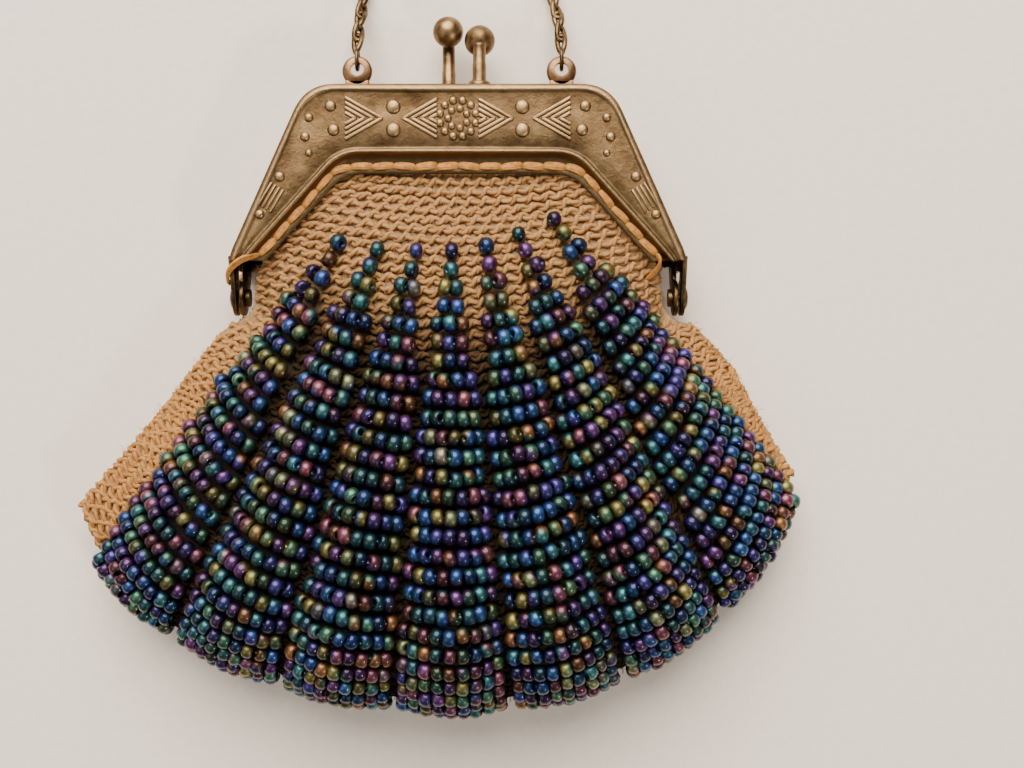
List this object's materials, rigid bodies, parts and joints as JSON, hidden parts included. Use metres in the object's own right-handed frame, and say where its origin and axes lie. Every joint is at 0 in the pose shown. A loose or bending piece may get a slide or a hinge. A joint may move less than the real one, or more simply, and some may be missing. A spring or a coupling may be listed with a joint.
{
  "type": "beaded frame purse",
  "caption": "Small knitted coin purse with widening ribs of seed beads, sewn into a hinged embossed brass frame with a two-ball clasp and a chain.",
  "frame": {"origin": "on the table, under the middle of the bag's flat back", "axes": "+X to the purse's right seen from the front, +Y up the purse towards clasp and chain, +Z out of its front, away from the table"},
  "size_m": [0.0942, 0.1481, 0.0213],
  "materials": {
    "gilt_brass": "worn gilt brass, darker in the hollows",
    "dark_brass": "brown, tarnished brass",
    "knit": "tan garter-stitch knitting with iris seed beads"
  },
  "bodies": {
    "root": {"frame_front": "gilt_brass", "frame_back": "gilt_brass", "clasp_front": "gilt_brass", "clasp_back": "gilt_brass", "hinge_rivet_left": "dark_brass", "hinge_rivet_right": "dark_brass", "chain_end_link_left": "dark_brass", "chain_end_link_right": "dark_brass", "chain": "dark_brass", "knit_bag": "knit"}
  },
  "joints": []
}
